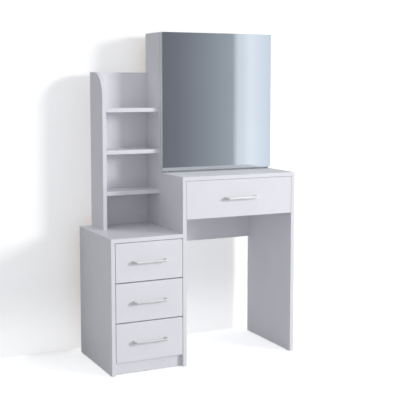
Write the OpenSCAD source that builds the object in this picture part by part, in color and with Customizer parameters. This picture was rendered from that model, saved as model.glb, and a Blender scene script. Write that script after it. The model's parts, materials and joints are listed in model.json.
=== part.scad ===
// Vanity table: a low drawer cabinet, a desk with one drawer, an open shelf tower
// and a mirror cabinet with a hinged mirror door. Lengths are in millimetres.
// The front faces -Y, and the origin is on the floor, under the middle of the bounding box.

/* [Overall] */
// Width over the low cabinet and the desk
overall_w = 800; // [740:1:900]
// Depth of the cabinet and the desk, without the handles
depth = 368; // [360:1:420]
// Height of the mirror cabinet's top above the floor
overall_h = 1315; // [1290:1:1400]
// Thickness of the coated boards
board_t = 16; // [15:1:18]

/* [Low cabinet] */
// Distance from the left side to the desk's left panel
cabinet_w = 296; // [280:1:320]
// Height of the low cabinet's top above the floor
cabinet_h = 529; // [520:1:560]
// Height of the bottom board's underside above the floor
plinth_h = 50; // [45:1:60]
// Distance from the drawer fronts back to the plinth
plinth_setback = 17; // [17:1:40]

/* [Desk] */
// Height of the desk's top above the floor
desk_h = 750; // [740:1:780]
// Height of the desk drawer's front
desk_front_h = 149; // [145:1:160]
// Height of the panel across the back of the kneehole
modesty_h = 300; // [250:1:400]

/* [Shelf tower] */
// Distance from the cabinet's left side in to the tower's side panel
tower_inset = 52; // [40:1:80]
// Depth of the tower, flush with the back
tower_depth = 143; // [130:1:150]
// Height of the tower's top above the floor
tower_h = 1155; // [1130:1:1200]
// Radius of the rounded top front corner
tower_corner_r = 95; // [40:1:110]
// Upper face of the lowest shelf above the floor
lower_shelf_z = 681; // [660:1:700]
// Upper face of the middle shelf above the floor
middle_shelf_z = 845; // [820:1:870]
// Upper face of the highest shelf above the floor
upper_shelf_z = 1012; // [990:1:1040]

/* [Mirror cabinet] */
// Depth of the mirror cabinet's case, flush with the back
case_depth = 148.5; // [140:0.5:170]
// Gap between the case and the closed door
door_gap = 2.5; // [2.5:0.5:4]
// Thickness of the mirror glass
glass_t = 3; // [3:1:5]
// Gap between the desk top and the door's lower edge
door_lift = 6; // [4:1:8]

/* [Drawers] */
// Gap around the low cabinet's drawer fronts
front_gap = 2; // [1.5:0.5:3]
// Gap between two drawer fronts, one above the other
stack_gap = 4; // [2:0.5:5]
// Gap around the desk drawer's front
desk_gap = 1; // [1:0.5:3]
// Length of the drawer boxes behind their fronts
box_depth = 300; // [250:10:320]
// Height of the drawer boxes
box_h = 112; // [90:1:115]
// Thickness of the drawer sides and backs
box_t = 12; // [10:1:15]

/* [Handles] */
// How far a handle stands out from its drawer front
handle_reach = 26; // [22:1:32]
// Distance between a handle's two screws
handle_pitch = 128; // [96:32:128]
// Height of a handle's bar and feet
handle_h = 10; // [9:1:14]

/* [Hidden] */

white = [0.93, 0.93, 0.95];
hardboard = [0.86, 0.86, 0.87];
steel = [0.75, 0.76, 0.78];
nickel = [0.78, 0.78, 0.77];
grey_plastic = [0.55, 0.56, 0.58];
mirror_grey = [0.62, 0.67, 0.72];

// Places below are given from the front left corner of the low cabinet on the floor.
x0 = -overall_w / 2;
y0 = -(depth - handle_reach) / 2;

fit = 0.05;                       // clearance around bolts, pins and nuts
glide_t = 2;                      // glides under the panels
glide_r = 7;
glide_inset = 30;                 // from a panel's ends to its glides
back_t = 3;                       // hardboard backs and drawer bottoms
rebate = 8;                       // width of the rebates that take the backs

cabinet_under = cabinet_h - board_t;
desk_under = desk_h - board_t;
desk_x = cabinet_w;               // left face of the desk
desk_in_left = desk_x + board_t;
desk_in_right = overall_w - board_t;
tower_x = tower_inset + board_t;  // inner face of the tower's side panel
tower_y = depth - tower_depth;
case_y = depth - case_depth;      // front of the mirror cabinet's case
case_floor = desk_h + board_t;
case_ceiling = overall_h - board_t;

// Door, from its back face to the front of the glass
door_side_gap = 1;
door_left = desk_x + door_side_gap;
door_right = overall_w - door_side_gap;
door_back = case_y - door_gap;
door_front = door_back - board_t;
door_low = desk_h + door_lift;

// The door turns on two pins close to its back right edge
pivot_inset = [4.5, 3.5];
pivot_x = door_right - pivot_inset.x;
pivot_y = door_back - pivot_inset.y;
pin_r = 1.5;
pin_short = 2;                    // from a pin's end to the end of its bush
bush_r = 2.8;
bush_len = 12;
bracket_t = 2;
bracket_r = 5.2;
bracket_len = 30;                 // length let into the case's side panel
bracket_recess = [6.5, 8.5];      // cut in the door round the upper bracket, from the pivot
bracket_play = 1;                 // between a bracket and the bush beside it
lower_bush = [desk_h + bracket_t + bracket_play, door_low + bush_len];
upper_bush = [overall_h - bracket_t - bracket_play - bush_len, overall_h - bracket_t - bracket_play];

// Magnetic catch on the case and the steel plate on the door that it holds
catch_size = [14, 16, 40];
strike_size = [13, 1, 36];

// Inner shelves of the mirror cabinet, evenly spaced on pins
inner_shelves = 2;
inner_gap = (case_ceiling - case_floor - inner_shelves * board_t) / (inner_shelves + 1);
inner_z = [for (i = [1 : inner_shelves]) case_floor + i * inner_gap + (i - 1) * board_t];
catch_z = (case_ceiling + case_floor) / 2 + inner_gap;
shelf_setback = 6;
shelf_play = 1;
shelf_pin_r = 2.5;
shelf_pin_len = 16;
shelf_pin_inset = 30;
shelf_pin_y = [case_y + shelf_pin_inset, depth - shelf_pin_inset];

// Drawers from the top down, each as
// [inner left, inner right, front's low edge, high edge, gap beside the front]
cabinet_front_h = (cabinet_under - plinth_h - 2 * front_gap - 2 * stack_gap) / 3;
cabinet_drawer = [for (i = [0 : 2])
    let (top = cabinet_under - front_gap - i * (cabinet_front_h + stack_gap))
    [board_t, cabinet_w, top - cabinet_front_h, top, front_gap]];
desk_drawer = [desk_in_left, desk_in_right,
    desk_under - desk_gap - desk_front_h, desk_under - desk_gap, desk_gap];
all_drawers = concat(cabinet_drawer, [desk_drawer]);

slide_w = 12.5;                   // room for a slide on each side of a drawer box
box_lift = 18;                    // from a front's low edge up to its box
groove_z = 8;                     // from the box's low edge up to its bottom
groove_d = 6;
rail_t = 1.2;
rail_h = 22;
rail_lift = 20;                   // from the box's low edge up to its slide
rail_y = board_t + 4;
rail_play = 0.8;

// A handle is a straight bar on two legs, with rounded corners
handle_w = handle_pitch + 12;
handle_bar_t = 5;
handle_leg_t = 10;
handle_corner_r = 14;
handle_inner_r = 8;
screw_r = 2;
screw_in = 6;                     // how far a screw goes into its foot
head_r = 4;
head_t = 2.4;

// Cam fittings
cam_r = 7.5;
cam_t = 12.5;
cam_reach = 34;                   // from the joint to the cam nut's centre
bolt_r = 3;
bolt_thread_r = 2.5;
bolt_thread_len = 10.5;
bolt_inset = 60;                  // from a joint's ends to its bolts
bolt_y = [bolt_inset, depth - bolt_inset];
tower_bolt_y = [tower_y + 35, depth - 40]; // clear of the rounded corner and of the back
half = board_t / 2;
up = [0, 0, 1];
down = [0, 0, -1];
left = [-1, 0, 0];
right = [1, 0, 0];
back = [0, 1, 0];

// Each fitting is [point on the joint, way into the far board, way out to the nut's face]
cabinet_fittings = [for (y = bolt_y) each [
    [[half, y, cabinet_under], up, right],
    [[cabinet_w, y, cabinet_h - half], right, down],
    [[board_t, y, plinth_h + half], left, down],
    [[cabinet_w, y, plinth_h + half], right, down]
]];
desk_fittings = concat(
    [for (y = bolt_y) each [
        [[desk_x + half, y, desk_under], up, right],
        [[desk_in_right + half, y, desk_under], up, left]
    ]],
    [for (z = [desk_under - bolt_inset, desk_under - modesty_h + bolt_inset]) each [
        [[desk_in_left, depth - half, z], left, back],
        [[desk_in_right, depth - half, z], right, back]
    ]]
);
tower_fittings = concat(
    [for (y = tower_bolt_y) [[tower_inset + half, y, cabinet_h], down, right]],
    [for (z = [cabinet_h + bolt_inset, tower_h - bolt_inset]) [[tower_x, depth - half, z], left, back]],
    [for (z = [lower_shelf_z, middle_shelf_z, upper_shelf_z]) each [
        [[tower_x, tower_y + bolt_inset, z - half], left, down],
        [[desk_x, tower_y + bolt_inset, z - half], right, down]
    ]]
);
case_fittings = [for (y = tower_bolt_y) each [
    [[desk_x + half, y, desk_h], down, right],
    [[desk_in_right + half, y, desk_h], down, left],
    [[desk_in_left, y, case_ceiling + half], left, down],
    [[desk_in_right, y, case_ceiling + half], right, down]
]];
all_fittings = concat(cabinet_fittings, desk_fittings, tower_fittings, case_fittings);

// ---- Shared shapes ----

module at(p) {
    translate([x0 + p.x, y0 + p.y, p.z]) children();
}

// A block between two opposite corners
module block(low, high) {
    at(low) cube(high - low);
}

// A round bar that starts at p and runs along the direction d
module rod(p, d, length, r) {
    at(p) rotate([0, acos(d.z), atan2(d.y, d.x)]) cylinder(h = length, r = r, $fn = r > 20 ? 180 : 40);
}

// One cam bolt, from its threaded end in the far board to the nut
module cam_bolt(f, grow = 0) {
    rod(f[0] - (cam_reach - cam_r - 0.5) * f[1], f[1], cam_reach - cam_r - 0.5, bolt_r + grow);
    rod(f[0] - 0.01 * f[1], f[1], bolt_thread_len + grow, bolt_thread_r + grow);
}

// One cam nut, flush with the board's face
module cam_nut(f, grow = 0) {
    rod(f[0] - cam_reach * f[1] + half * f[2], -f[2], cam_t + grow, cam_r + grow);
}

// A cross-shaped slot in a face at p that looks along d, as [length, width, twice its depth]
module cross_slot(p, d, size) {
    for (s = [0, 1]) at(p) rotate([0, acos(d.z), atan2(d.y, d.x)]) rotate(90 * s) cube(size, center = true);
}

// The holes that a list of fittings needs
module fitting_holes(fittings) {
    for (f = fittings) {
        cam_bolt(f, fit);
        cam_nut(f, fit);
        rod(f[0] - cam_reach * f[1], f[1], cam_r + 1, bolt_r + fit);
    }
}

// Outline of a pivot bracket: a strip with a round nose about the pivot
module bracket_outline(grow = 0) {
    circle(r = bracket_r + grow, $fn = 48);
    translate([-bracket_r - grow, 0])
        square([2 * (bracket_r + grow), door_gap + pivot_inset.y + bracket_len + grow]);
}

// Sides of the two notches that let the brackets into the case
module bracket_notches() {
    for (z = [desk_h - 1, overall_h - bracket_t - fit])
        at([pivot_x, pivot_y, z]) linear_extrude(bracket_t + fit + 1) bracket_outline(0.2);
}

function middle_x(d) = (d[0] + d[1]) / 2;
function middle_z(d) = (d[2] + d[3]) / 2;
function box_low(d) = d[2] + box_lift;
function handle_x(d) = [for (s = [-1, 1]) middle_x(d) + s * handle_pitch / 2];

module drawer_front(d) {
    low = [d[0] + d[4], 0, d[2]];
    high = [d[1] - d[4], board_t, d[3]];
    groove = box_low(d) + groove_z;
    inset = slide_w + box_t - groove_d;
    color(white) difference() {
        block(low, high);
        block([d[0] + inset, board_t - groove_d, groove],
              [d[1] - inset, board_t + 1, groove + back_t]);
        for (x = handle_x(d)) rod([x, -1, middle_z(d)], back, board_t + 2, screw_r + 0.25);
    }
}

module drawer_sides(d) {
    groove = box_low(d) + groove_z;
    color(white) for (side = [0, 1]) {
        outer = side == 0 ? d[0] + slide_w : d[1] - slide_w - box_t;
        cut = side == 0 ? outer + box_t - groove_d : outer - 1;
        difference() {
            block([outer, board_t, box_low(d)], [outer + box_t, board_t + box_depth, box_low(d) + box_h]);
            block([cut, board_t - 1, groove], [cut + groove_d + 1, board_t + box_depth + 1, groove + back_t]);
        }
    }
}

module drawer_back(d) {
    color(white) block(
        [d[0] + slide_w + box_t, board_t + box_depth - box_t, box_low(d) + groove_z + back_t],
        [d[1] - slide_w - box_t, board_t + box_depth, box_low(d) + box_h]);
}

module drawer_bottom(d) {
    inset = slide_w + box_t - groove_d;
    color(hardboard) block(
        [d[0] + inset, board_t - groove_d, box_low(d) + groove_z],
        [d[1] - inset, board_t + box_depth, box_low(d) + groove_z + back_t]);
}

// A channel along Y with its web at x = 0 and its flanges towards +X
module channel(width, height) {
    rotate([90, 0, 0]) mirror([0, 0, 1]) linear_extrude(box_depth) difference() {
        square([width, height]);
        translate([rail_t, rail_t]) square([width, height - 2 * rail_t]);
    }
}

// Channels on the inner faces beside a drawer
module fixed_channels(d) {
    z = box_low(d) + rail_lift;
    at([d[0], rail_y, z]) channel(slide_w - 2, rail_h);
    at([d[1], rail_y, z]) mirror([1, 0, 0]) channel(slide_w - 2, rail_h);
}

// Channels on a drawer box, which run inside the fixed ones
module drawer_runners(d) {
    inner = rail_t + rail_play;
    z = box_low(d) + rail_lift + inner;
    color(steel) {
        at([d[0] + slide_w, rail_y, z]) mirror([1, 0, 0]) channel(slide_w - inner, rail_h - 2 * inner);
        at([d[1] - slide_w, rail_y, z]) channel(slide_w - inner, rail_h - 2 * inner);
    }
}

// What rounding takes off a flat shape's corner at p, where s points into the shape
module corner_cut(p, s, r) {
    low = [min(p.x - s.x, p.x + s.x * r), min(p.y - s.y, p.y + s.y * r)];
    difference() {
        translate(low) square(r + 1);
        translate(p + r * s) circle(r = r, $fn = 96);
    }
}

// A handle seen from above, with the drawer front along the X axis
module handle_plan() {
    end = handle_w / 2;
    leg = end - handle_leg_t;
    inner_y = handle_bar_t - handle_reach;
    difference() {
        translate([-end, -handle_reach]) square([handle_w, handle_reach]);
        for (s = [-1, 1]) corner_cut([s * end, -handle_reach], [-s, 1], handle_corner_r);
        difference() {
            translate([-leg, inner_y]) square([2 * leg, 1 - inner_y]);
            for (s = [-1, 1]) corner_cut([s * leg, inner_y], [-s, 1], handle_inner_r);
        }
    }
}

module handle(d) {
    color(nickel) difference() {
        at([middle_x(d), 0, middle_z(d) - handle_h / 2]) linear_extrude(handle_h) handle_plan();
        for (x = handle_x(d)) rod([x, 1, middle_z(d)], -back, screw_in + 1.2, screw_r + fit);
    }
}

module handle_screws(d) {
    color(steel) for (x = handle_x(d)) difference() {
        union() {
            rod([x, board_t, middle_z(d)], -back, board_t + screw_in, screw_r);
            rod([x, board_t, middle_z(d)], back, head_t, head_r);
        }
        cross_slot([x, board_t + head_t, middle_z(d)], back, [4.5, 1, 2.8]);
    }
}

module tower_shelf(z) {
    color(white) difference() {
        block([tower_x, tower_y, z - board_t], [desk_x, depth - board_t, z]);
        fitting_holes([for (f = tower_fittings) if (f[0].z == z - half) f]);
    }
}

module case_side(x) {
    inner = x < door_right - board_t ? x + board_t : x;
    way = inner > x ? left : right;
    color(white) difference() {
        block([x, case_y, desk_h], [x + board_t, depth, overall_h]);
        block([min(inner, inner + rebate * way.x), depth - back_t, desk_h - 1],
              [max(inner, inner + rebate * way.x), depth + 1, overall_h + 1]);
        for (z = inner_z, y = shelf_pin_y)
            rod([inner - way.x, y, z - shelf_pin_r], way, shelf_pin_len / 2 + 1 + fit, shelf_pin_r + fit);
        fitting_holes(case_fittings);
        if (way == left) fitting_holes([for (f = tower_fittings) if (f[1] == right) f]);
        if (way == right) bracket_notches();
    }
}

// ---- Low cabinet ----

module cabinet_left_panel() {
    color(white) difference() {
        block([0, 0, glide_t], [board_t, depth, cabinet_under]);
        block([rebate, depth - back_t, plinth_h], [board_t + 1, depth + 1, cabinet_under + 1]);
        fitting_holes(cabinet_fittings);
    }
}

module cabinet_top() {
    color(white) difference() {
        block([0, 0, cabinet_under], [cabinet_w, depth, cabinet_h]);
        fitting_holes(cabinet_fittings);
        fitting_holes([for (f = tower_fittings) if (f[1] == down && f[0].z == cabinet_h) f]);
    }
}

module cabinet_bottom() {
    color(white) difference() {
        block([board_t, board_t + 2, plinth_h], [cabinet_w, depth - back_t, plinth_h + board_t]);
        fitting_holes([for (f = cabinet_fittings) if (f[0].z < cabinet_under - board_t) f]);
    }
}

module cabinet_plinth() {
    color(white) block([board_t, plinth_setback, glide_t], [cabinet_w, plinth_setback + board_t, plinth_h]);
}

module cabinet_back_panel() {
    color(hardboard) block([rebate, depth - back_t, plinth_h], [cabinet_w + rebate, depth, cabinet_under]);
}

// ---- Desk ----

module desk_left_panel() {
    color(white) difference() {
        block([desk_x, 0, glide_t], [desk_in_left, depth, desk_under]);
        block([desk_x - 1, depth - back_t, plinth_h], [desk_x + rebate, depth + 1, cabinet_under]);
        fitting_holes([for (f = cabinet_fittings) if (f[1] == right) f]);
        fitting_holes([for (f = desk_fittings) if (f[0].x < desk_in_left + 1) f]);
        fitting_holes([for (f = tower_fittings) if (f[1] == right && f[0].z < desk_under) f]);
    }
}

module desk_right_panel() {
    color(white) difference() {
        block([desk_in_right, 0, glide_t], [overall_w, depth, desk_under]);
        fitting_holes([for (f = desk_fittings) if (f[0].x > desk_in_right - 1) f]);
    }
}

module desk_top() {
    color(white) difference() {
        block([desk_x, 0, desk_under], [overall_w, depth, desk_h]);
        fitting_holes([for (f = desk_fittings) if (f[1] == up) f]);
        fitting_holes([for (f = case_fittings) if (f[1] == down) f]);
    }
}

module modesty_panel() {
    color(white) difference() {
        block([desk_in_left, depth - board_t, desk_under - modesty_h], [desk_in_right, depth, desk_under]);
        fitting_holes([for (f = desk_fittings) if (f[1] != up) f]);
    }
}

// ---- Shelf tower ----

module tower_side_panel() {
    corner_y = tower_y + tower_corner_r;
    corner_z = tower_h - tower_corner_r;
    color(white) difference() {
        block([tower_inset, tower_y, cabinet_h], [tower_x, depth, tower_h]);
        difference() {
            block([tower_inset - 1, tower_y - 1, corner_z], [tower_x + 1, corner_y, tower_h + 1]);
            rod([tower_inset - 2, corner_y, corner_z], right, board_t + 4, tower_corner_r);
        }
        fitting_holes([for (f = tower_fittings) if (f[1] != right) f]);
    }
}

module tower_back_panel() {
    color(white) difference() {
        block([tower_x, depth - board_t, cabinet_h], [desk_x, depth, tower_h]);
        fitting_holes([for (f = tower_fittings) if (f[2] == back) f]);
    }
}

module tower_shelf_upper() { tower_shelf(upper_shelf_z); }
module tower_shelf_middle() { tower_shelf(middle_shelf_z); }
module tower_shelf_lower() { tower_shelf(lower_shelf_z); }

// ---- Mirror cabinet ----

module mirror_cabinet_left_side() { case_side(desk_x); }
module mirror_cabinet_right_side() { case_side(desk_in_right); }

module mirror_cabinet_top() {
    color(white) difference() {
        block([desk_in_left, case_y, case_ceiling], [desk_in_right, depth - back_t, overall_h]);
        fitting_holes([for (f = case_fittings) if (f[2] == down) f]);
    }
}

module mirror_cabinet_bottom() {
    color(white) block([desk_in_left, case_y, desk_h], [desk_in_right, depth - back_t, case_floor]);
}

module mirror_cabinet_back() {
    color(hardboard) block([desk_in_left - rebate, depth - back_t, desk_h],
                           [desk_in_right + rebate, depth, overall_h]);
}

module mirror_cabinet_shelves() {
    color(white) for (z = inner_z)
        block([desk_in_left + shelf_play, case_y + shelf_setback, z],
              [desk_in_right - shelf_play, depth - back_t - shelf_play, z + board_t]);
}

module shelf_pins() {
    color(steel) for (z = inner_z, y = shelf_pin_y) {
        rod([desk_in_left - shelf_pin_len / 2, y, z - shelf_pin_r], right, shelf_pin_len, shelf_pin_r);
        rod([desk_in_right + shelf_pin_len / 2, y, z - shelf_pin_r], left, shelf_pin_len, shelf_pin_r);
    }
}

module door_pivot_brackets() {
    color(steel) for (z = [desk_h, overall_h - bracket_t]) difference() {
        at([pivot_x, pivot_y, z]) linear_extrude(bracket_t) bracket_outline();
        rod([pivot_x, pivot_y, z - 1], up, bracket_t + 2, pin_r + fit);
    }
}

module door_pivot_pins() {
    color(nickel) {
        rod([pivot_x, pivot_y, desk_h], up, lower_bush[1] - desk_h - pin_short, pin_r);
        rod([pivot_x, pivot_y, overall_h], down, overall_h - upper_bush[0] - pin_short, pin_r);
    }
}

module magnetic_catch() {
    low = [desk_in_left, case_y, catch_z - catch_size.z / 2];
    color(grey_plastic) block(low, low + catch_size);
}

// ---- Mirror door ----

module mirror_door_panel() {
    color(white) difference() {
        block([door_left, door_front, door_low], [door_right, door_back, overall_h]);
        block([pivot_x - bracket_recess.x, pivot_y - bracket_recess.y, upper_bush[1]],
              [door_right + 1, door_back + 1, overall_h + 1]);
        rod([pivot_x, pivot_y, door_low - 1], up, bush_len + 1, bush_r + fit);
        rod([pivot_x, pivot_y, overall_h], down, overall_h - upper_bush[0], bush_r + fit);
    }
}

module mirror_glass() {
    color(mirror_grey) block([door_left, door_front - glass_t, door_low],
                             [door_right, door_front, overall_h]);
}

module door_pivot_bushes() {
    color(grey_plastic) for (bush = [lower_bush, upper_bush]) difference() {
        rod([pivot_x, pivot_y, bush[0]], up, bush[1] - bush[0], bush_r);
        rod([pivot_x, pivot_y, bush[0] - 1], up, bush[1] - bush[0] + 2, pin_r + fit);
    }
}

module strike_plate() {
    low = [desk_in_left, door_back, catch_z - strike_size.z / 2];
    color(steel) block(low, low + strike_size);
}

// ---- Fittings that hold the boards together ----

module cam_bolts() {
    color(steel) for (f = all_fittings) cam_bolt(f);
}

module cam_nuts() {
    color(steel) for (f = all_fittings) difference() {
        cam_nut(f);
        cross_slot(f[0] - cam_reach * f[1] + half * f[2], f[2], [9, 1.6, 5]);
    }
}

module drawer_channels() {
    color(steel) for (d = all_drawers) fixed_channels(d);
}

module floor_glides() {
    color(grey_plastic) {
        for (x = [half, desk_x + half, desk_in_right + half], y = [glide_inset, depth - glide_inset])
            rod([x, y, 0], up, glide_t, glide_r);
        rod([cabinet_w / 2, plinth_setback + half, 0], up, glide_t, glide_r);
    }
}

// ---- Drawers ----

module drawer_1_front() { drawer_front(cabinet_drawer[0]); }
module drawer_1_sides() { drawer_sides(cabinet_drawer[0]); }
module drawer_1_back() { drawer_back(cabinet_drawer[0]); }
module drawer_1_bottom() { drawer_bottom(cabinet_drawer[0]); }
module drawer_1_runners() { drawer_runners(cabinet_drawer[0]); }
module drawer_1_handle() { handle(cabinet_drawer[0]); }
module drawer_1_handle_screws() { handle_screws(cabinet_drawer[0]); }

module drawer_2_front() { drawer_front(cabinet_drawer[1]); }
module drawer_2_sides() { drawer_sides(cabinet_drawer[1]); }
module drawer_2_back() { drawer_back(cabinet_drawer[1]); }
module drawer_2_bottom() { drawer_bottom(cabinet_drawer[1]); }
module drawer_2_runners() { drawer_runners(cabinet_drawer[1]); }
module drawer_2_handle() { handle(cabinet_drawer[1]); }
module drawer_2_handle_screws() { handle_screws(cabinet_drawer[1]); }

module drawer_3_front() { drawer_front(cabinet_drawer[2]); }
module drawer_3_sides() { drawer_sides(cabinet_drawer[2]); }
module drawer_3_back() { drawer_back(cabinet_drawer[2]); }
module drawer_3_bottom() { drawer_bottom(cabinet_drawer[2]); }
module drawer_3_runners() { drawer_runners(cabinet_drawer[2]); }
module drawer_3_handle() { handle(cabinet_drawer[2]); }
module drawer_3_handle_screws() { handle_screws(cabinet_drawer[2]); }

module desk_drawer_front() { drawer_front(desk_drawer); }
module desk_drawer_sides() { drawer_sides(desk_drawer); }
module desk_drawer_back() { drawer_back(desk_drawer); }
module desk_drawer_bottom() { drawer_bottom(desk_drawer); }
module desk_drawer_runners() { drawer_runners(desk_drawer); }
module desk_drawer_handle() { handle(desk_drawer); }
module desk_drawer_handle_screws() { handle_screws(desk_drawer); }

// ---- Every node ----

cabinet_left_panel();
cabinet_top();
cabinet_bottom();
cabinet_plinth();
cabinet_back_panel();
desk_left_panel();
desk_right_panel();
desk_top();
modesty_panel();
tower_side_panel();
tower_back_panel();
tower_shelf_upper();
tower_shelf_middle();
tower_shelf_lower();
mirror_cabinet_left_side();
mirror_cabinet_right_side();
mirror_cabinet_top();
mirror_cabinet_bottom();
mirror_cabinet_back();
mirror_cabinet_shelves();
shelf_pins();
door_pivot_brackets();
door_pivot_pins();
magnetic_catch();
cam_bolts();
cam_nuts();
drawer_channels();
floor_glides();
mirror_door_panel();
mirror_glass();
door_pivot_bushes();
strike_plate();
drawer_1_front();
drawer_1_sides();
drawer_1_back();
drawer_1_bottom();
drawer_1_runners();
drawer_1_handle();
drawer_1_handle_screws();
drawer_2_front();
drawer_2_sides();
drawer_2_back();
drawer_2_bottom();
drawer_2_runners();
drawer_2_handle();
drawer_2_handle_screws();
drawer_3_front();
drawer_3_sides();
drawer_3_back();
drawer_3_bottom();
drawer_3_runners();
drawer_3_handle();
drawer_3_handle_screws();
desk_drawer_front();
desk_drawer_sides();
desk_drawer_back();
desk_drawer_bottom();
desk_drawer_runners();
desk_drawer_handle();
desk_drawer_handle_screws();
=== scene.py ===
import json
import math

import bmesh
import bpy
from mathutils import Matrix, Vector


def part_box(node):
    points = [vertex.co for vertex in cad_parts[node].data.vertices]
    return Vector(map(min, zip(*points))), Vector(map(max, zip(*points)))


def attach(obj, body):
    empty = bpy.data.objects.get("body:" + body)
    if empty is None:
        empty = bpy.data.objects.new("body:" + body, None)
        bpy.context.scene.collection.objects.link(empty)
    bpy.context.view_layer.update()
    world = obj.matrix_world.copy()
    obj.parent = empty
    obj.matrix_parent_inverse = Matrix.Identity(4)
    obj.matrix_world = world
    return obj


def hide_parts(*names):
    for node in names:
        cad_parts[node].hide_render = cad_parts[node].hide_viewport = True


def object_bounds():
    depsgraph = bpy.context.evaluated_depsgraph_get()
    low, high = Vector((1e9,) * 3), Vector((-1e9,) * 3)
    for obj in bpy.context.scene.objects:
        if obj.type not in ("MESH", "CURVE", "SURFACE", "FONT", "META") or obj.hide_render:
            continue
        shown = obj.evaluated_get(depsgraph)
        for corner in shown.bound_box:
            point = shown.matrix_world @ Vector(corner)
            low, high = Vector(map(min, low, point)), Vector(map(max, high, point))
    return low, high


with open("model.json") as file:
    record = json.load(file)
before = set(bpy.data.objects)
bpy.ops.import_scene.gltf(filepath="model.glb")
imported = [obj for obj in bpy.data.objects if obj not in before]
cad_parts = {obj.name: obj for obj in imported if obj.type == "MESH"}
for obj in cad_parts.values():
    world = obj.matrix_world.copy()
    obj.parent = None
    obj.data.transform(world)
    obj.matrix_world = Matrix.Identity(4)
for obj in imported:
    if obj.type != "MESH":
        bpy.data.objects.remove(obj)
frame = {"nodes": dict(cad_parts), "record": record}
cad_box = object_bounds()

# A white vanity table: materials for every board and fitting, rounded handles, the mirror pane,
# nails and bumpers, and a plain white studio. Lengths are in metres, in the CAD's frame.

NODES = frame["nodes"]
DRAWERS = ["drawer_1", "drawer_2", "drawer_3", "desk_drawer"]
MM = 0.001


# ---------------------------------------------------------------- node helpers

def remap(tree, value, source, target, smooth=False):
    """Stretches value's run over source so that it covers target, held at the ends."""
    node = tree.nodes.new("ShaderNodeMapRange")
    if smooth:
        node.interpolation_type = "SMOOTHSTEP"
    for key, level in zip(("From Min", "From Max", "To Min", "To Max"), (*source, *target)):
        node.inputs[key].default_value = level
    tree.links.new(value, node.inputs["Value"])
    return node.outputs["Result"]


def colour_ramp(tree, fac, stops):
    """Colours at places along fac, each stop as (place, colour)."""
    node = tree.nodes.new("ShaderNodeValToRGB")
    elements = node.color_ramp.elements
    while len(elements) < len(stops):
        elements.new(0.5)
    for element, (place, colour) in zip(elements, stops):
        element.position = place
        element.color = (*colour, 1)
    tree.links.new(fac, node.inputs["Fac"])
    return node.outputs["Color"]


class Shader:
    """A Principled material with short calls for the nodes that feed it."""

    def __init__(self, name, **constants):
        self.material = bpy.data.materials.new(name)
        self.material.use_nodes = True
        self.tree = self.material.node_tree
        self.surface = self.tree.nodes["Principled BSDF"]
        self.coords = self.tree.nodes.new("ShaderNodeTexCoord").outputs["Object"]
        for key, value in constants.items():
            self.surface.inputs[key.replace("_", " ").title().replace("Ior", "IOR")].default_value = value

    def link(self, output, node, key):
        self.tree.links.new(output, node.inputs[key])

    def feed(self, output, key):
        self.link(output, self.surface, key)

    def stretched(self, scale):
        node = self.tree.nodes.new("ShaderNodeMapping")
        node.inputs["Scale"].default_value = scale
        self.link(self.coords, node, "Vector")
        return node.outputs["Vector"]

    def noise(self, scale, detail=2.0, roughness=0.5, stretch=(1, 1, 1)):
        node = self.tree.nodes.new("ShaderNodeTexNoise")
        node.inputs["Scale"].default_value = scale
        node.inputs["Detail"].default_value = detail
        node.inputs["Roughness"].default_value = roughness
        self.link(self.stretched(stretch), node, "Vector")
        return node.outputs["Fac"]

    def cells(self, scale, stretch=(1, 1, 1)):
        node = self.tree.nodes.new("ShaderNodeTexVoronoi")
        node.inputs["Scale"].default_value = scale
        self.link(self.stretched(stretch), node, "Vector")
        return node.outputs["Color"]

    def ramp(self, fac, *stops):
        return colour_ramp(self.tree, fac, stops)

    def spread(self, fac, low, high):
        """fac's middle half stretched to run from low to high."""
        return remap(self.tree, fac, (0.25, 0.75), (low, high))

    def bump(self, height, depth, strength=1.0, over=None):
        node = self.tree.nodes.new("ShaderNodeBump")
        node.inputs["Distance"].default_value = depth
        node.inputs["Strength"].default_value = strength
        self.link(height, node, "Height")
        if over is not None:
            self.link(over, node, "Normal")
        return node.outputs["Normal"]

    def mix(self, fac, first, second):
        """Blends two colours; the numbers are the sockets that a colour mix uses."""
        node = self.tree.nodes.new("ShaderNodeMix")
        node.data_type = "RGBA"
        for key, output in ((0, fac), (6, first), (7, second)):
            self.link(output, node, key)
        return node.outputs[2]

    def place(self, axis):
        """Where the surface lies along an axis of the object's frame."""
        split = self.tree.nodes.new("ShaderNodeSeparateXYZ")
        self.link(self.coords, split, "Vector")
        return split.outputs[axis]

    def above(self, axis, level):
        """1 where the surface lies beyond level along an axis."""
        node = self.tree.nodes.new("ShaderNodeMath")
        node.operation = "GREATER_THAN"
        node.inputs[1].default_value = level
        self.link(self.place(axis), node, 0)
        return node.outputs[0]

    def climb(self, axis, start, end, first, last):
        """Runs smoothly from first at start to last at end along an axis."""
        return remap(self.tree, self.place(axis), (start, end), (first, last), smooth=True)


# ---------------------------------------------------------------- materials

def chipboard_colour(shader):
    """Pressed wood chips, a millimetre or two long."""
    chips = shader.ramp(shader.cells(620, (1, 1, 1.6)),
                        (0.0, (0.30, 0.19, 0.10)), (0.45, (0.52, 0.38, 0.23)), (1.0, (0.68, 0.55, 0.37)))
    dust = shader.ramp(shader.noise(260, 4), (0.35, (0.42, 0.29, 0.17)), (0.7, (0.62, 0.48, 0.31)))
    return shader.mix(shader.noise(90, 3), chips, dust)


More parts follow.
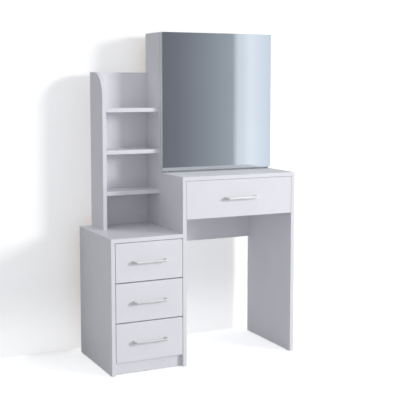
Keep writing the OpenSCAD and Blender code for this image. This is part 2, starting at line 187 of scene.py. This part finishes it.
def melamine(name, raw_edge_beyond=None):
    """White coated board with a fine pearl texture; raw chipboard shows on a back edge that nobody sees."""
    shader = Shader(name, specular_ior_level=0.45)
    cloud = shader.ramp(shader.noise(7, 3), (0.3, (0.775, 0.775, 0.812)), (0.7, (0.800, 0.800, 0.835)))
    pearl = shader.noise(1400, 3, 0.6)
    waves = shader.noise(55, 2)
    if raw_edge_beyond is None:
        shader.feed(cloud, "Base Color")
    else:
        raw = shader.above("Y", raw_edge_beyond)
        shader.feed(shader.mix(raw, cloud, chipboard_colour(shader)), "Base Color")
    shader.feed(shader.spread(shader.noise(40, 3), 0.34, 0.44), "Roughness")
    shader.feed(shader.bump(pearl, 0.02 * MM, 0.5, shader.bump(waves, 0.06 * MM, 0.3)), "Normal")
    return shader.material


def hardboard(name, brown_beyond):
    """Thin hardboard, lacquered white inside and plain brown fibre outside."""
    shader = Shader(name, specular_ior_level=0.3)
    lacquer = shader.ramp(shader.noise(9, 3), (0.3, (0.74, 0.74, 0.77)), (0.7, (0.77, 0.77, 0.80)))
    fibre = shader.ramp(shader.noise(420, 5, 0.65, (1, 1, 0.35)),
                        (0.3, (0.27, 0.165, 0.09)), (0.55, (0.36, 0.235, 0.135)), (0.75, (0.45, 0.31, 0.19)))
    blotch = shader.ramp(shader.noise(14, 3), (0.35, (0.33, 0.21, 0.12)), (0.7, (0.42, 0.28, 0.165)))
    brown = shader.mix(shader.noise(35, 2), fibre, blotch)
    shader.feed(shader.mix(shader.above("Y", brown_beyond), lacquer, brown), "Base Color")
    shader.feed(shader.spread(shader.noise(60, 2), 0.5, 0.62), "Roughness")
    shader.feed(shader.bump(shader.noise(700, 4, 0.6), 0.04 * MM, 0.6), "Normal")
    return shader.material


def satin_nickel(name):
    """Plated metal, brushed along its length."""
    shader = Shader(name, metallic=1.0, anisotropic=0.35)
    streaks = shader.noise(900, 3, 0.6, (0.03, 1, 1))
    shader.feed(shader.ramp(shader.noise(30, 3),
                            (0.3, (0.72, 0.72, 0.715)), (0.7, (0.78, 0.78, 0.775))), "Base Color")
    shader.feed(shader.spread(streaks, 0.56, 0.66), "Roughness")
    shader.feed(shader.bump(streaks, 0.01 * MM, 0.6), "Normal")
    return shader.material


def zinc(name):
    """Zinc-plated steel with faint crystal patches."""
    shader = Shader(name, metallic=1.0)
    patches = shader.cells(170)
    shader.feed(shader.ramp(patches, (0.0, (0.55, 0.56, 0.59)), (1.0, (0.70, 0.71, 0.73))), "Base Color")
    shader.feed(shader.spread(shader.noise(240, 3), 0.30, 0.46), "Roughness")
    shader.feed(shader.bump(shader.noise(600, 3), 0.02 * MM, 0.5), "Normal")
    return shader.material


def plastic(name, dark, light, rough_low, rough_high):
    """Moulded plastic with a fine spark-eroded grain."""
    shader = Shader(name, specular_ior_level=0.45)
    shader.feed(shader.ramp(shader.noise(60, 3), (0.3, dark), (0.7, light)), "Base Color")
    shader.feed(shader.spread(shader.noise(120, 2), rough_low, rough_high), "Roughness")
    shader.feed(shader.bump(shader.noise(1800, 2), 0.03 * MM, 0.6), "Normal")
    return shader.material


def silvering(name):
    """Silvered float glass seen from the front, with the faintest haze."""
    shader = Shader(name, metallic=1.0)
    shader.feed(shader.ramp(shader.noise(3, 2),
                            (0.3, (0.70, 0.725, 0.755)), (0.7, (0.72, 0.745, 0.775))), "Base Color")
    shader.feed(shader.spread(shader.noise(18, 4), 0.010, 0.035), "Roughness")
    return shader.material


def glass_edge(name):
    """The ground and polished edge of the pane, where the glass looks green."""
    shader = Shader(name, specular_ior_level=0.6, coat_weight=0.4)
    shader.feed(shader.ramp(shader.noise(200, 3, 0.5, (1, 1, 0.2)),
                            (0.3, (0.36, 0.50, 0.47)), (0.7, (0.52, 0.66, 0.62))), "Base Color")
    shader.feed(shader.spread(shader.noise(500, 2), 0.12, 0.25), "Roughness")
    return shader.material


back_face = cad_box[1].y
MELAMINE = melamine("white_melamine")
MELAMINE_RAW_BACK = melamine("white_melamine_raw_back_edge", back_face - 0.4 * MM)
HARDBOARD_BACK = hardboard("hardboard_back", back_face - 0.6 * MM)
NICKEL = satin_nickel("satin_nickel_brushed")
ZINC = zinc("zinc_plated_steel")
GREY_PLASTIC = plastic("grey_moulded_plastic", (0.40, 0.41, 0.43), (0.46, 0.47, 0.49), 0.42, 0.55)
CLEAR_PLASTIC = plastic("milky_bumper_plastic", (0.70, 0.71, 0.72), (0.78, 0.79, 0.80), 0.25, 0.35)
SILVER = silvering("mirror_silvering")
GLASS_EDGE = glass_edge("mirror_glass_edge")


# ---------------------------------------------------------------- CAD nodes

RAW_BACK = ["cabinet_left_panel", "cabinet_top", "desk_left_panel", "desk_right_panel", "desk_top",
            "tower_side_panel", "mirror_cabinet_left_side", "mirror_cabinet_right_side"]
BACKS = ["cabinet_back_panel", "mirror_cabinet_back"]
BY_SLOT = {"white_board": MELAMINE, "white_hardboard": MELAMINE, "satin_nickel": NICKEL, "nickel_pins": NICKEL,
           "zinc_steel": ZINC, "grey_plastic": GREY_PLASTIC, "mirror": SILVER}
SLOT_OF = {part["node"]: part["material_slot"] for part in frame["record"]["subparts"]}


EDGE_RADIUS = 0.6 * MM
# This side keeps a lip 0.1 mm thin beside the pivot brackets, so its edges are rounded less
THIN_LIPS = {"mirror_cabinet_right_side": 0.04 * MM}


def finish_edges(node, width, segments):
    """Rounds a CAD part's sharp edges without touching its mesh."""
    weld = node.modifiers.new("weld", "WELD")
    weld.merge_threshold = 0.001 * MM
    merge = node.modifiers.new("whole_faces", "DECIMATE")
    merge.decimate_type = "DISSOLVE"
    merge.angle_limit = math.radians(1)
    bevel = node.modifiers.new("rounded_edges", "BEVEL")
    bevel.width = width
    bevel.segments = segments
    bevel.limit_method = "ANGLE"
    bevel.angle_limit = math.radians(50)
    bevel.use_clamp_overlap = False
    level = node.modifiers.new("flat_faces", "WEIGHTED_NORMAL")
    level.mode = "FACE_AREA"
    level.weight = 100


def dress(name, node):
    slot = SLOT_OF[name]
    material = BY_SLOT[slot]
    if name in RAW_BACK:
        material = MELAMINE_RAW_BACK
    if name in BACKS:
        material = HARDBOARD_BACK
    node.data.materials.clear()
    node.data.materials.append(material)
    if slot == "white_board":
        finish_edges(node, THIN_LIPS.get(name, EDGE_RADIUS), 2)


for name, node in NODES.items():
    dress(name, node)


# ---------------------------------------------------------------- new pieces

def add_piece(name, mesh, body, materials):
    piece = bpy.data.objects.new(name, mesh)
    bpy.context.scene.collection.objects.link(piece)
    for material in materials:
        mesh.materials.append(material)
    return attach(piece, body)


def smooth(mesh):
    mesh.polygons.foreach_set("use_smooth", [True] * len(mesh.polygons))


def bridge(bm, rings):
    """Quads between rings of equally many points."""
    for first, second in zip(rings, rings[1:]):
        for k in range(len(first)):
            n = (k + 1) % len(first)
            bm.faces.new((first[k], first[n], second[n], second[k]))


def to_mesh(bm, name):
    mesh = bpy.data.meshes.new(name)
    bm.to_mesh(mesh)
    bm.free()
    return mesh


# The handle's thickness at its foot, at the top of its leg and along its bar, and its outer corner radius
FOOT, LEG, BAR, CORNER = 10.5 * MM, 6.8 * MM, 5 * MM, 11.5 * MM
HANDLE_SIDES = 32
CORNER_STEPS, BAR_STEPS = 12, 10
# Under 1 these square up the section, across the bar and in its height
CROWN_ACROSS, CROWN_UP = 0.55, 0.5


def bar_handle(drawer):
    """A cast handle: a gently crowned bar on two legs that flow out into its feet."""
    node = drawer + "_handle"
    low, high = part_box(node)
    middle = (low.x + high.x) / 2
    height = (low.z + high.z) / 2
    half_w, reach, half_h = (high.x - low.x) / 2, high.y - low.y, (high.z - low.z) / 2
    # Half of the centre line, from the foot out to the bar's middle, as (across, out, thickness)
    path = [(half_w - FOOT / 2, 0.0, FOOT), (half_w - FOOT / 2 + 0.2 * MM, 0.8 * MM, FOOT),
            (half_w - 4.6 * MM, 4 * MM, 9.0 * MM), (half_w - 3.9 * MM, 9 * MM, 7.4 * MM)]
    for i in range(CORNER_STEPS + 1):
        turn = i / CORNER_STEPS
        thick = LEG + (BAR - LEG) * turn
        path.append((half_w - CORNER + (CORNER - thick / 2) * math.cos(turn * math.pi / 2),
                     reach - CORNER + (CORNER - thick / 2) * math.sin(turn * math.pi / 2), thick))
    for i in range(1, BAR_STEPS + 1):
        path.append(((half_w - CORNER) * (1 - i / BAR_STEPS), reach - BAR / 2, BAR))
    path += [(-x, y, thick) for x, y, thick in reversed(path[:-1])]
    bm = bmesh.new()
    rings = []
    for i, (x, y, thick) in enumerate(path):
        before, after = path[max(i - 1, 0)], path[min(i + 1, len(path) - 1)]
        way = Vector((after[0] - before[0], after[1] - before[1])).normalized()
        if i in (0, len(path) - 1):
            way = Vector((0, 1 if i == 0 else -1))
        side = Vector((-way.y, way.x))
        tall = half_h * (1 - 0.10 * min(1, y / reach)) if y > 1 * MM else half_h
        ring = []
        for k in range(HANDLE_SIDES):
            a = 2 * math.pi * k / HANDLE_SIDES
            c, sn = math.cos(a), math.sin(a)
            across = math.copysign(abs(c) ** CROWN_ACROSS, c) * thick / 2
            upward = math.copysign(abs(sn) ** CROWN_UP, sn) * tall
            ring.append(bm.verts.new((middle + x + side.x * across, high.y - y - side.y * across,
                                      height + upward)))
        rings.append(ring)
    bridge(bm, rings)
    bm.faces.new(rings[0][::-1])
    bm.faces.new(rings[-1])
    bmesh.ops.recalc_face_normals(bm, faces=bm.faces)
    mesh = to_mesh(bm, drawer + "_bar_handle")
    smooth(mesh)
    piece = add_piece(drawer + "_bar_handle", mesh, drawer, [NICKEL])
    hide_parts(node)


def mirror_pane():
    """The glass with its arrised edges: silvered on its faces, green on its ground edge."""
    low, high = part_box("mirror_glass")
    bm = bmesh.new()
    bmesh.ops.create_cube(bm, size=1)
    for vert in bm.verts:
        vert.co = Vector((low[i] + (vert.co[i] + 0.5) * (high[i] - low[i])) for i in range(3))
    bmesh.ops.bevel(bm, geom=bm.edges[:], offset=0.6 * MM, segments=2, affect="EDGES", profile=0.5)
    for face in bm.faces:
        face.material_index = 0 if abs(face.normal.y) > 0.99 else 1
    mesh = to_mesh(bm, "mirror_pane")
    piece = add_piece("mirror_pane", mesh, "mirror_door", [SILVER, GLASS_EDGE])
    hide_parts("mirror_glass")


def dome(bm, place, axis, radius, height, rings=5, sides=20):
    """A low dome that stands on place and bulges along axis."""
    turn = Vector((0, 0, 1)).rotation_difference(Vector(axis)).to_matrix()
    loops = []
    for i in range(rings):
        a = i / rings * math.pi / 2
        loops.append([bm.verts.new(Vector(place) + turn @ Vector((
            radius * math.cos(a) * math.cos(2 * math.pi * k / sides),
            radius * math.cos(a) * math.sin(2 * math.pi * k / sides),
            height * math.sin(a)))) for k in range(sides)])
    tip = bm.verts.new(Vector(place) + turn @ Vector((0, 0, height)))
    bridge(bm, loops)
    for k in range(sides):
        bm.faces.new((loops[-1][k], loops[-1][(k + 1) % sides], tip))
    bm.faces.new(loops[0][::-1])


def domes(name, places, axis, radius, height, body, material):
    bm = bmesh.new()
    for place in places:
        dome(bm, place, axis, radius, height)
    mesh = to_mesh(bm, name)
    smooth(mesh)
    return add_piece(name, mesh, body, [material])


def border(low, high, inset, pitch):
    """Evenly spaced places round a panel in the XZ plane, inset from its edge."""
    x0, x1 = low.x + inset, high.x - inset
    z0, z1 = low.z + inset, high.z - inset
    across = max(1, round((x1 - x0) / pitch))
    upright = max(1, round((z1 - z0) / pitch))
    places = [(x0 + (x1 - x0) * i / across, z) for i in range(across + 1) for z in (z0, z1)]
    places += [(x, z0 + (z1 - z0) * i / upright) for i in range(1, upright) for x in (x0, x1)]
    return places


def back_nails():
    """Small nails that hold each hardboard back to the edges of its case."""
    for panel in BACKS:
        low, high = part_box(panel)
        places = [(x, high.y, z) for x, z in border(low, high, 4 * MM, 95 * MM)]
        domes(panel + "_nails", places, (0, 1, 0), 2.2 * MM, 0.7 * MM, "carcass", ZINC)


def door_bumpers():
    """Two soft pads that stop the door against the case's free side."""
    low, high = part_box("mirror_door_panel")
    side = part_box("mirror_cabinet_left_side")
    x = (side[0].x + side[1].x) / 2
    places = [(x, high.y, z) for z in (low.z + 22 * MM, high.z - 22 * MM)]
    domes("door_bumpers", places, (0, 1, 0), 4.5 * MM, 2.2 * MM, "mirror_door", CLEAR_PLASTIC)


for drawer in DRAWERS:
    bar_handle(drawer)
mirror_pane()
back_nails()
door_bumpers()


# ---------------------------------------------------------------- studio

def stage_plane(name, corners, material):
    mesh = bpy.data.meshes.new(name)
    mesh.from_pydata(corners, [], [(0, 1, 2, 3)])
    mesh.materials.append(material)
    plane = bpy.data.objects.new(name, mesh)
    bpy.context.scene.collection.objects.link(plane)
    return plane


def studio_white(name, glow, wall=False):
    """Matte white paint that never falls to grey away from the lamp.

    A wall is clear from behind and glows more towards the floor: painted light that stands in for light
    bounced up off the floor.
    """
    shader = Shader(name, roughness=0.9, specular_ior_level=0.1, emission_color=(1, 1, 1, 1),
                    emission_strength=glow)
    shader.feed(shader.ramp(shader.noise(3, 2),
                            (0.3, (0.885, 0.885, 0.89)), (0.7, (0.90, 0.90, 0.905))), "Base Color")
    if wall:
        # painted light: the wall's glow rises towards the floor in place of light bounced off it
        shader.feed(shader.climb("Z", *WALL_FADE, WALL_FOOT_GLOW, glow), "Emission Strength")
        tree = shader.tree
        clear = tree.nodes.new("ShaderNodeBsdfTransparent")
        choose = tree.nodes.new("ShaderNodeMixShader")
        side = tree.nodes.new("ShaderNodeNewGeometry")
        tree.links.new(side.outputs["Backfacing"], choose.inputs[0])
        tree.links.new(shader.surface.outputs[0], choose.inputs[1])
        tree.links.new(clear.outputs[0], choose.inputs[2])
        tree.links.new(choose.outputs[0], tree.nodes["Material Output"].inputs["Surface"])
    return shader.material


def matte_card(name, tone):
    """A plain matt surface that the object sees and the camera doesn't."""
    return Shader(name, base_color=(*tone, 1), roughness=0.95, specular_ior_level=0.0).material


def reflected_room():
    """What the mirror shows: a slate wall that lightens towards a bright curtained window on the right."""
    material = bpy.data.materials.new("reflected_room")
    material.use_nodes = True
    tree = material.node_tree
    tree.nodes.remove(tree.nodes["Principled BSDF"])
    glow = tree.nodes.new("ShaderNodeEmission")
    tree.links.new(glow.outputs[0], tree.nodes["Material Output"].inputs["Surface"])
    coords = tree.nodes.new("ShaderNodeTexCoord")
    split = tree.nodes.new("ShaderNodeSeparateXYZ")
    tree.links.new(coords.outputs["Object"], split.inputs[0])
    along = remap(tree, split.outputs["X"], ROOM_X, (0, 1))
    stops = [((x - ROOM_X[0]) / (ROOM_X[1] - ROOM_X[0]), colour) for x, colour in ROOM_TONES]
    tree.links.new(colour_ramp(tree, along, stops), glow.inputs["Color"])
    return material


FLOOR_GLOW = 0.50
WALL_GLOW = 0.31
# The wall's painted glow at the floor, standing in for light bounced off the floor, and the heights between
# which it fades
WALL_FOOT_GLOW = 0.50
WALL_FADE = (0.0, 0.30)
WALL_GAP = 60 * MM
# The sky brightens along this way, from the first level to the second
SKY_LEAN = Vector((0.25, -0.10, 0.95)).normalized()
SKY_LEVELS = (0.0, 0.85)
SKY_COLOUR = (0.96, 0.975, 1.0)
# The floor that lights the object from below, which is greyer than the one the camera sees
BOUNCE = (0.72, 0.72, 0.73)
BOUNCE_DROP = 3 * MM
# A dark card that stands at the wall, left of the object, and shades the rear of its left side
CARD = (0.02, 0.02, 0.025)
CARD_WIDTH, CARD_HEIGHT = 0.20, 0.55
CARD_ASIDE, CARD_BEHIND = 10 * MM, 5 * MM
# Azimuth, elevation, distance, width, height, power
KEY = (43, 12, 8.0, 1.8, 1.8, 305)

# The backdrop that the mirror shows: where it stands, and its tones along X
ROOM_X = (-2.0, 6.0)
ROOM_Y = -5.0
ROOM_HEIGHT = 1.8
ROOM_TONES = [
    (-2.0, (0.26, 0.28, 0.31)),
    (0.5, (0.22, 0.24, 0.27)),
    (2.05, (0.19, 0.20, 0.22)),
    (2.25, (0.22, 0.23, 0.27)),
    (2.55, (0.31, 0.345, 0.38)),
    (2.88, (0.44, 0.48, 0.52)),
    (2.93, (0.83, 0.90, 0.96)),
    (2.99, (0.86, 0.93, 1.00)),
    (3.08, (1.02, 1.09, 1.17)),
    (3.20, (0.93, 1.00, 1.09)),
    (3.32, (0.82, 0.91, 1.00)),
    (6.0, (0.80, 0.88, 0.96)),
]
# Half the width of the floor and the wall
HALF = 9.0


def upright(left, right, y, height):
    """The corners of a wall that runs from left to right."""
    return [(left, y, 0), (right, y, 0), (right, y, height), (left, y, height)]


def seen_by(plane, camera=False, diffuse=False, glossy=False):
    plane.visible_camera = camera
    plane.visible_diffuse = diffuse
    plane.visible_glossy = glossy
    plane.visible_transmission = False
    plane.visible_shadow = False


FLOOR = [(-HALF, -HALF, 0), (HALF, -HALF, 0), (HALF, HALF, 0), (-HALF, HALF, 0)]
floor = stage_plane("studio_floor", FLOOR, studio_white("floor_paint", FLOOR_GLOW))
seen_by(floor, camera=True)
bounce = stage_plane("floor_bounce", [(x, y, -BOUNCE_DROP) for x, y, z in FLOOR],
                     matte_card("bounce_paint", BOUNCE))
seen_by(bounce, diffuse=True, glossy=True)

wall_y = back_face + WALL_GAP
wall = stage_plane("studio_wall", upright(-HALF, HALF, wall_y, HALF),
                   studio_white("wall_paint", WALL_GLOW, wall=True))
seen_by(wall, camera=True)
card_right = cad_box[0].x - CARD_ASIDE
card = stage_plane("shade_card",
                   upright(card_right - CARD_WIDTH, card_right, wall_y + CARD_BEHIND, CARD_HEIGHT),
                   matte_card("card_paint", CARD))
seen_by(card, diffuse=True)

room = stage_plane("mirror_backdrop", upright(ROOM_X[1], ROOM_X[0], ROOM_Y, ROOM_HEIGHT), reflected_room())
seen_by(room, glossy=True)


def studio_world():
    """Soft light from all sides, strongest from above and from the right, behind a plain white background."""
    world = bpy.data.worlds.new("studio")
    bpy.context.scene.world = world
    world.use_nodes = True
    tree = world.node_tree
    fill = tree.nodes["Background"]
    coords = tree.nodes.new("ShaderNodeTexCoord")
    blend = tree.nodes.new("ShaderNodeVectorMath")
    blend.operation = "DOT_PRODUCT"
    blend.inputs[1].default_value = SKY_LEAN
    tree.links.new(coords.outputs["Generated"], blend.inputs[0])
    fill.inputs["Color"].default_value = (*SKY_COLOUR, 1)
    tree.links.new(remap(tree, blend.outputs["Value"], (-1, 1), SKY_LEVELS), fill.inputs["Strength"])
    white = tree.nodes.new("ShaderNodeBackground")
    white.inputs["Color"].default_value = (1, 1, 1, 1)
    path = tree.nodes.new("ShaderNodeLightPath")
    choose = tree.nodes.new("ShaderNodeMixShader")
    tree.links.new(path.outputs["Is Camera Ray"], choose.inputs[0])
    tree.links.new(fill.outputs[0], choose.inputs[1])
    tree.links.new(white.outputs[0], choose.inputs[2])
    tree.links.new(choose.outputs[0], tree.nodes["World Output"].inputs["Surface"])


def softbox(name, azimuth, elevation, distance, width, height, power):
    """A soft lamp aimed at the object's middle; azimuth runs from straight in front towards +X."""
    lamp = bpy.data.lights.new(name, "AREA")
    lamp.shape = "RECTANGLE"
    lamp.size = width
    lamp.size_y = height
    lamp.energy = power
    box = bpy.data.objects.new(name, lamp)
    bpy.context.scene.collection.objects.link(box)
    a, e = math.radians(azimuth), math.radians(elevation)
    way = Vector((math.sin(a) * math.cos(e), -math.cos(a) * math.cos(e), math.sin(e)))
    box.location = (cad_box[0] + cad_box[1]) / 2 + way * distance
    box.rotation_mode = "QUATERNION"
    box.rotation_quaternion = way.to_track_quat("Z", "Y")
    box.visible_camera = False


studio_world()
softbox("key_softbox", *KEY)


# ---------------------------------------------------------------- camera

CAMERA_PLACE = (-1.570, -3.351, 1.104)
CAMERA_YAW = 25.83
CAMERA_PITCH = 5.69
CAMERA_LENS = 82.3
CAMERA_SHIFT = -0.06

camera = bpy.data.cameras.new("camera")
camera.lens = CAMERA_LENS
camera.sensor_width = 36
camera.shift_y = CAMERA_SHIFT
view = bpy.data.objects.new("camera", camera)
bpy.context.scene.collection.objects.link(view)
view.location = CAMERA_PLACE
view.rotation_euler = (math.radians(90 - CAMERA_PITCH), 0, math.radians(-CAMERA_YAW))
bpy.context.scene.camera = view
bpy.context.scene.view_settings.view_transform = "Standard"
